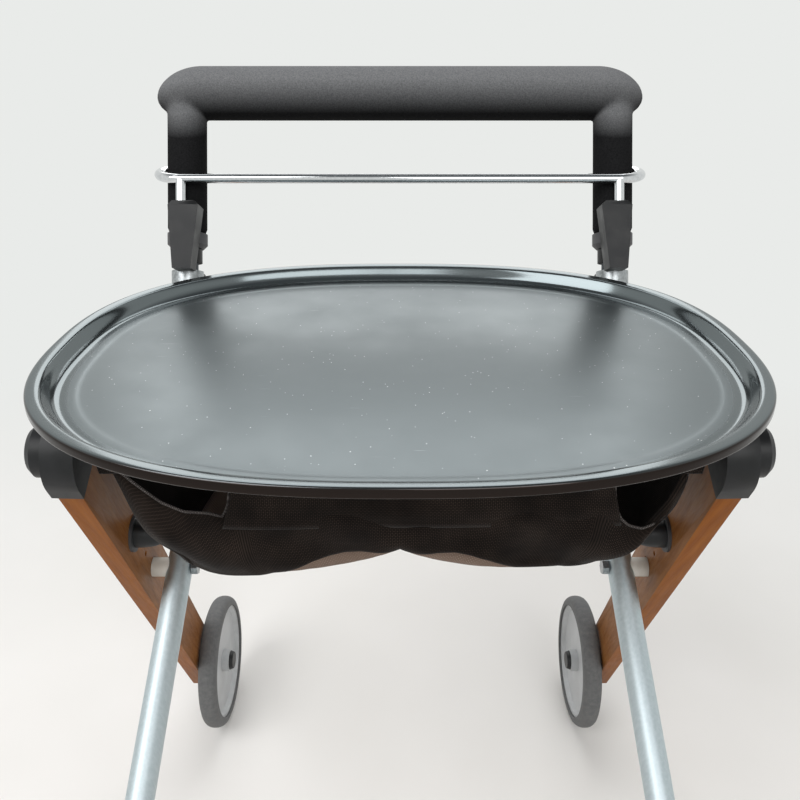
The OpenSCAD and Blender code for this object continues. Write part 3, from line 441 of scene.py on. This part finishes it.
# Height of the mouth's edge: along the front on each side, from the middle out; along a side, from front to rear;
# along the rear, from the middle out
MOUTH_RIGHT = [(0, 603.5), (155, 603.5), (158, 600), (160.5, 588), (163, 571), (168, 557), (176, 549.5), (187, 546.5),
               (198, 552), (210, 567), (217, 583), (221, 597), (222, 603)]
MOUTH_LEFT = [(0, 603.5), (124, 603.5), (126, 600), (128, 583), (131, 566), (136, 558), (146, 561), (165, 562.5),
              (181, 571), (197, 586), (208, 596), (215, 601), (222, 603)]
MOUTH_SIDE = [(-1, 603), (-0.85, 598), (-0.5, 586), (0, 580), (0.5, 583), (0.85, 593), (1, 597)]
MOUTH_REAR = [(0, 603.5), (140, 603.5), (144, 601), (150, 588), (158, 573), (172, 564), (190, 569), (208, 583),
              (222, 597)]
# Down the bag: share of the depth, of the half width and of the run from middle to front
BAG_FALL = np.array([(0, 1, 1), (0.07, 0.978, 1.02), (0.27, 0.95, 1.045), (0.51, 0.93, 1.05), (0.76, 0.91, 1.045),
                     (0.9, 0.88, 1.035), (0.965, 0.845, 1.015), (0.992, 0.77, 0.965), (1, 0.6, 0.76),
                     (1, 0.05, 0.06)])
# Depth, half width and run that turn those shares into a way down in millimetres
FALL_SIZE = (105, 222, 111)
# Ridge along the middle of the floor: its height at the front, its reach to each side and the share lost to the rear
RIDGE, RIDGE_REACH, RIDGE_LOSS = 28.0, 55.0, 0.75
# The floor hangs higher on the right and lower on the left, and the bag is narrower by this share at the rear
RIGHT_RISE, LEFT_DROP, REAR_NARROWER = 7.0, 6.0, 0.08
# Slanting folds of the cloth: height, waves a millimetre across and up, in radians, and where the wave starts
FOLDS = ((1.7, 0.041, 0.085, 0.0), (1.1, 0.093, -0.06, 1.2))
# Roundness of a ring, as a superellipse power, at the mouth and how much is lost down to the floor
RING_POWER, RING_LOSS = 24, 19
# Cloth taken up by the seam of body and base
SEAM = 1.2
BINDING_R, BINDING_SIDES = 1.1, 8
# Height of the pale base that shows below the front panel, from the middle out
BASE_SHOWS = [(0, 0.8), (18, 6), (34, 12.5), (48, 15.5), (62, 15), (78, 12), (96, 6), (115, SEAM), (300, SEAM)]


def bag_skin():
    """Rings from mouth to floor, in millimetres. A ring starts as even steps round a square and is pulled in by
    k = (|x|^p + |y|^p)^(-1/p), with p from 24 at the mouth to 5 at the floor. Each column falls from the mouth's edge
    to the floor, which a ridge lifts along the middle, and the cloth has shallow slanting folds. Returns the black
    rows, the base rows and the way round a ring."""
    across, along = 160, 80
    cols = 2 * (across + along)
    run = np.linspace(-1, 1, across, endpoint=False)
    climb = np.linspace(-1, 1, along, endpoint=False)
    qx = np.concatenate([run, np.ones(along), -run, -np.ones(along)])
    qy = np.concatenate([-np.ones(across), climb, np.ones(across), -climb])
    column = np.arange(cols)
    front = column < across
    rear = (column >= across + along) & (column < 2 * across + along)
    reach = BAG_HALF * np.abs(qx)
    top = np.interp(qy, *np.transpose(MOUTH_SIDE))
    top = np.where(rear, np.interp(reach, *np.transpose(MOUTH_REAR)), top)
    top = np.where(front, np.where(qx > 0, np.interp(reach, *np.transpose(MOUTH_RIGHT)),
                                   np.interp(reach, *np.transpose(MOUTH_LEFT))), top)
    fall = rounded(BAG_FALL, 3)
    length = np.concatenate([[0], np.cumsum(np.linalg.norm(np.diff(fall * FALL_SIZE, axis=0), axis=1))])
    length /= length[-1]
    shows = np.where(front, np.interp(reach, *np.transpose(BASE_SHOWS)), SEAM)
    ridge = RIDGE * np.exp(-reach / RIDGE_REACH) * front
    turn = np.interp(1 - (shows + SEAM) / (top - BAG_FLOOR - ridge), fall[:, 0], length)
    black = np.linspace(0, 1, 40)[:, None] * turn
    base = turn + np.linspace(0, 1, 26)[:, None] * (1 - turn)

    def rows(t):
        depth, wide, deep = (np.interp(t, length, fall[:, k]) for k in range(3))
        power = RING_POWER - RING_LOSS * smooth_steps(depth, 0.02, 0.9)
        k = (np.abs(qx) ** power + np.abs(qy) ** power) ** (-1 / power)
        y = BAG_MID + BAG_RUN * deep * k * qy
        narrow = 1 - REAR_NARROWER * smooth_steps(y, BAG_MID - 40, BAG_MID + 90)
        x = BAG_HALF * wide * k * qx * narrow
        lift = RIDGE * np.exp(-np.abs(x) / RIDGE_REACH) * (1 - RIDGE_LOSS * smooth_steps(y, -85, 60))
        lift = lift + RIGHT_RISE * smooth_steps(x, 0, 190) - LEFT_DROP * smooth_steps(-x, 60, 170)
        z = top + (BAG_FLOOR + lift - top) * depth
        swell = smooth_steps(depth, 0.12, 0.5) * (1 - smooth_steps(depth, 0.85, 1))
        fold = swell * sum(high * np.sin(u * x + v * z + begin) for high, u, v, begin in FOLDS)
        out_x = 0.5 * fold * qx * (np.abs(qx) == 1)
        out_y = fold * qy * (np.abs(qy) == 1)
        return np.stack([x + out_x, y + out_y, z], -1)

    way = np.cumsum(np.where(front | rear, 2 * BAG_HALF / across, 2 * BAG_RUN / along))
    return rows(black), rows(base), way


def hang(made):
    """Cloth that hangs on both bars: its transform is baked into its mesh."""
    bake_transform(made)


def cloth_grid(name, points, uv, material, around=False, cap=False, flip=False, period=0.0):
    """A cloth piece from rows of points, closed round the ring or capped on its last row where asked, with the cloth's
    thickness on its inner side."""
    rows, cols = points.shape[:2]
    faces = grid_quads(rows, cols, around=around)
    if cap:
        faces.append([(rows - 1) * cols + k for k in range(cols)])
    if flip:
        faces = [f[::-1] for f in faces]
    made = piece(name, points * MM, faces, "black_cloth", None, uv, period, material)
    shell = made.modifiers.new("cloth", "SOLIDIFY")
    shell.thickness, shell.offset = CLOTH_T * MM, -1.0
    return made


def lengths(points):
    """Way run down each column of a grid of points."""
    step = np.linalg.norm(np.diff(points, axis=0), axis=2)
    return np.concatenate([np.zeros((1, points.shape[1])), np.cumsum(step, axis=0)])


def tube(path, r, sides):
    """Closed ring of circles of radius r square to a closed path."""
    ahead = np.roll(path, -1, 0) - np.roll(path, 1, 0)
    ahead /= np.linalg.norm(ahead, axis=1)[:, None]
    side = np.cross(ahead, (0.13, 0.07, 1.0))
    side /= np.linalg.norm(side, axis=1)[:, None]
    up = np.cross(side, ahead)
    t = np.linspace(0, 2 * math.pi, sides, endpoint=False)[None, :, None]
    return path[:, None] + r * (np.cos(t) * side[:, None] + np.sin(t) * up[:, None])


def round_bar(bar, start_at, turn_from, turn_to, end_at, count=40):
    """Line in the y-z plane from one point, round a bar on a cloth's mid radius, to another point."""
    t = np.radians(np.linspace(turn_from, turn_to, count))
    r = BAR_R + CLOTH_T * 0.8
    arc = np.stack([bar[0] + r * np.cos(t), bar[1] + r * np.sin(t)], -1)
    lead = np.linspace(start_at, arc[0], 14, endpoint=False)
    tail = np.linspace(arc[-1], end_at, 10)[1:]
    return np.concatenate([lead, arc, tail])


def bag():
    """Body, pale base, bound edge, the front flap sewn over the front bar, and loops round both bars."""
    canvas_black = FINISH["black_cloth"]
    canvas_base = canvas("grey-pink polyester canvas", "6c5b50", "9c897c")
    binding = canvas("grey binding tape", "2f2b2a", "8d8783", 1.2)
    black, base, way = bag_skin()
    period = way[-1]
    body = cloth_grid("bag_body", black, np.stack([way + 0 * black[..., 0], lengths(black)], -1), canvas_black,
                      around=True, period=period, flip=True)
    under = cloth_grid("bag_base", base, np.stack([way + 0 * base[..., 0], lengths(base)], -1), canvas_base,
                       around=True, cap=True, period=period, flip=True)
    hang(body)
    hang(under)
    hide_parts("bag_front", "bag_rear")

    edge = tube(black[0], BINDING_R, BINDING_SIDES)
    faces = [f[::-1] for f in grid_quads(len(edge), BINDING_SIDES, closed=True)]
    uv = np.stack(np.broadcast_arrays(way[:, None], np.arange(BINDING_SIDES)[None]), -1)
    hem = piece("bag_binding", edge * MM, faces, "black_cloth", None, uv, period, binding)
    hang(hem)

    def strip(name, line, left, right, cols, flap=False):
        """A line in the y-z plane carried from one side, x = left[0] + left[1] z, to the other. The flap's front keeps
        to the bowed body, with a small wave, and its lower edge is sewn in towards the right."""
        share = np.linspace(0, 1, cols)[None]
        y, z = line[:, :1] + 0 * share, line[:, 1:] + 0 * share
        height = np.minimum(z, FLAP_TOP)
        x = (left[0] + left[1] * height) * (1 - share) + (right[0] + right[1] * height) * share
        if flap:
            bow = FLAP_BOW * (x / 160) ** 4 + FLAP_WAVE * np.sin(0.05 * x + 0.11 * z)
            sewn = FLAP_SEWN * smooth_steps(x, -90, -10) * (1 - smooth_steps(z, 551, 566))
            y = y + (bow * (1 - smooth_steps(z, 585, 606)) + sewn) * (y < FRONT_BAR[0] - 4)
        grid = np.stack([x, y, z], -1)
        made = cloth_grid(name, grid, np.stack([x, lengths(grid)], -1), canvas_black)
        hang(made)

    over_front = round_bar(FRONT_BAR, (-100.4, 551), 180, 0, (-84.5, 580))
    strip("bag_flap", over_front, FLAP_LEFT, FLAP_RIGHT, 120, flap=True)
    front_loop = round_bar(FRONT_BAR, (-95.5, 598), 180, -10, (-86, 598))
    for name, left, right in (("bag_loop_left", -222, -209), ("bag_loop_right", 210, 223)):
        strip(name, front_loop, (left, 0), (right, 0), 9)
    rear_loop = round_bar(REAR_BAR, (133.5, 590), -50, 225, (129, 592))
    for name, left, right in (("bag_rear_loop_left", -140, -90), ("bag_rear_loop", -50, 50),
                              ("bag_rear_loop_right", 90, 140)):
        strip(name, rear_loop, (left, 0), (right, 0), 24)


bag()


# Camera, floor and light

def camera():
    """The photo's view: 900 mm above the floor, in front of the walker, tipped down."""
    data = bpy.data.cameras.new("camera")
    data.sensor_width = 36
    data.lens = 34.2
    data.clip_start = 0.01
    eye = bpy.data.objects.new("camera", data)
    eye.location = (0, -0.571, 0.9)
    eye.rotation_euler = (math.radians(90 - 26.87), 0, 0)
    bpy.context.scene.collection.objects.link(eye)
    bpy.context.scene.camera = eye


def lamp(name, size, place, aim, power):
    """A square soft light that faces its aim."""
    data = bpy.data.lights.new(name, "AREA")
    data.shape, data.size, data.energy = "SQUARE", size, power
    made = bpy.data.objects.new(name, data)
    made.location = place
    direction = np.array(place, float) - np.array(aim, float)
    flat = math.hypot(direction[0], direction[1])
    made.rotation_euler = (math.atan2(flat, direction[2]), 0, math.atan2(direction[0], -direction[1]))
    bpy.context.scene.collection.objects.link(made)


def studio():
    """A wide pale floor that fades into an even pale backdrop, and three soft lamps. Views and reflections see the
    backdrop colour, darker straight above; the light on the object comes from a plain grey world."""
    pale, half = "e9ebe9", 12.0

    def seen(tree):
        """1 where a view, a reflection or a view through glass looks at the backdrop."""
        path = add(tree, "LightPath")
        view = add(tree, "Math", links={0: path["Is Camera Ray"], 1: path["Is Glossy Ray"]}, operation="MAXIMUM")[0]
        return add(tree, "Math", links={0: view, 1: path["Is Transmission Ray"]}, operation="MAXIMUM")[0]

    material, tree = blank("pale studio floor")
    place = add(tree, "TexCoord")["Object"]
    drift = add(tree, "TexNoise", {"Scale": per_mm(400), "Detail": 3.0}, {"Vector": place})[0]
    tone = add(tree, "ValToRGB", links={"Fac": drift}, stops=((0.3, "e4e2de"), (0.7, "ebe9e6")))[0]
    shader = add(tree, "BsdfPrincipled", {"Roughness": 0.7, "Specular IOR Level": 0.2}, {"Base Color": tone})[0]
    way = add(tree, "VectorMath", links={0: place}, operation="LENGTH")["Value"]
    away = add(tree, "MapRange", {"From Min": 0.6, "From Max": 1.7}, {"Value": way})[0]
    far = add(tree, "Math", links={0: away, 1: seen(tree)}, operation="MULTIPLY")[0]
    glow = add(tree, "Emission", {"Color": linear(pale)})[0]
    both = add(tree, "MixShader", links={0: far, 1: shader, 2: glow})[0]
    add(tree, "OutputMaterial", links={"Surface": both})
    mesh = bpy.data.meshes.new("floor")
    mesh.from_pydata([(-half, -half, 0), (half, -half, 0), (half, half, 0), (-half, half, 0)], [], [(0, 1, 2, 3)])
    mesh.materials.append(material)
    floor = bpy.data.objects.new("floor", mesh)
    bpy.context.scene.collection.objects.link(floor)
    world = bpy.data.worlds.new("studio")
    world.use_nodes = True
    tree = world.node_tree
    height = add(tree, "SeparateXYZ", links={"Vector": add(tree, "TexCoord")["Generated"]})["Z"]
    sky = add(tree, "ValToRGB", links={"Fac": height}, stops=((0.58, pale), (0.88, "6a6e70")))[0]
    shade = add(tree, "Mix", {6: (0.55, 0.55, 0.55, 1)}, {0: seen(tree), 7: sky}, data_type="RGBA")[2]
    tree.links.new(shade, tree.nodes["Background"].inputs["Color"])
    bpy.context.scene.world = world
    lamp("key", 1.6, (-1.3, -1.2, 2.4), (0, 0, 0.6), 35)
    lamp("fill", 1.2, (0.6, -1.9, 1.95), (0, 0, 0.5), 15)
    lamp("back", 2.2, (-0.05, 1.9, 2.3), (0, 0, 0.6), 30)
    bpy.context.scene.view_settings.view_transform = "Standard"


camera()
studio()
